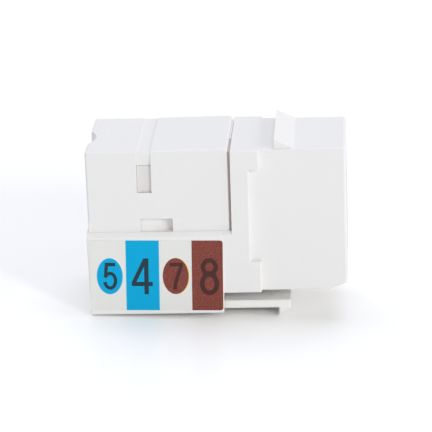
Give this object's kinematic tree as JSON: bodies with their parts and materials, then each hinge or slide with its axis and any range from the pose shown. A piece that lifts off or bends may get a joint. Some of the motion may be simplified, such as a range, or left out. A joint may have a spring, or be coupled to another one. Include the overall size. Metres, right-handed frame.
{
  "type": "keystone jack",
  "caption": "Snap-in panel jack for a network cable: plug port in a rectangular nose, wire terminals under a lift-off cap, a fixed catch above and a springy latch below.",
  "frame": {"origin": "centre of the nose's front face, in the middle of its width and of its height", "axes": "+X out of the plug port, +Z towards the fixed catch, Y across the jack; the cable comes in at the -X end"},
  "size_m": [0.0291, 0.0168, 0.0206],
  "materials": {
    "housing_plastic": "satin white moulded plastic",
    "carrier_plastic": "matt white moulded plastic",
    "board": "green circuit board lacquer",
    "contact_gold": "thin gold plating on spring bronze",
    "terminal_metal": "bright tin plating on bronze",
    "label": "printed paper label, satin"
  },
  "bodies": {
    "jack": {"front_housing": "housing_plastic", "contact_carrier": "carrier_plastic", "circuit_board": "board", "rear_block": "housing_plastic", "bottom_cover": "housing_plastic", "label_near": "label", "label_far": "label", "spring_contact_1": "contact_gold", "spring_contact_2": "contact_gold", "spring_contact_3": "contact_gold", "spring_contact_4": "contact_gold", "spring_contact_5": "contact_gold", "spring_contact_6": "contact_gold", "spring_contact_7": "contact_gold", "spring_contact_8": "contact_gold", "wire_terminal_near_1": "terminal_metal", "wire_terminal_near_2": "terminal_metal", "wire_terminal_near_3": "terminal_metal", "wire_terminal_near_4": "terminal_metal", "wire_terminal_far_1": "terminal_metal", "wire_terminal_far_2": "terminal_metal", "wire_terminal_far_3": "terminal_metal", "wire_terminal_far_4": "terminal_metal"},
    "cap": {"wire_cap": "housing_plastic"},
    "latch": {"latch_arm": "housing_plastic"}
  },
  "joints": [
    {"name": "cap_lift", "type": "slide", "parent": "jack", "child": "cap", "axis": [0, 0, 1], "range_m": [0, 0.009]},
    {"name": "latch_flex", "type": "hinge", "parent": "jack", "child": "latch", "pos_m": [-0.01467, 0, -0.01002], "axis": [0, -1, 0], "range_deg": [0, 9], "stiffness_Nm_per_rad": 0.2}
  ]
}
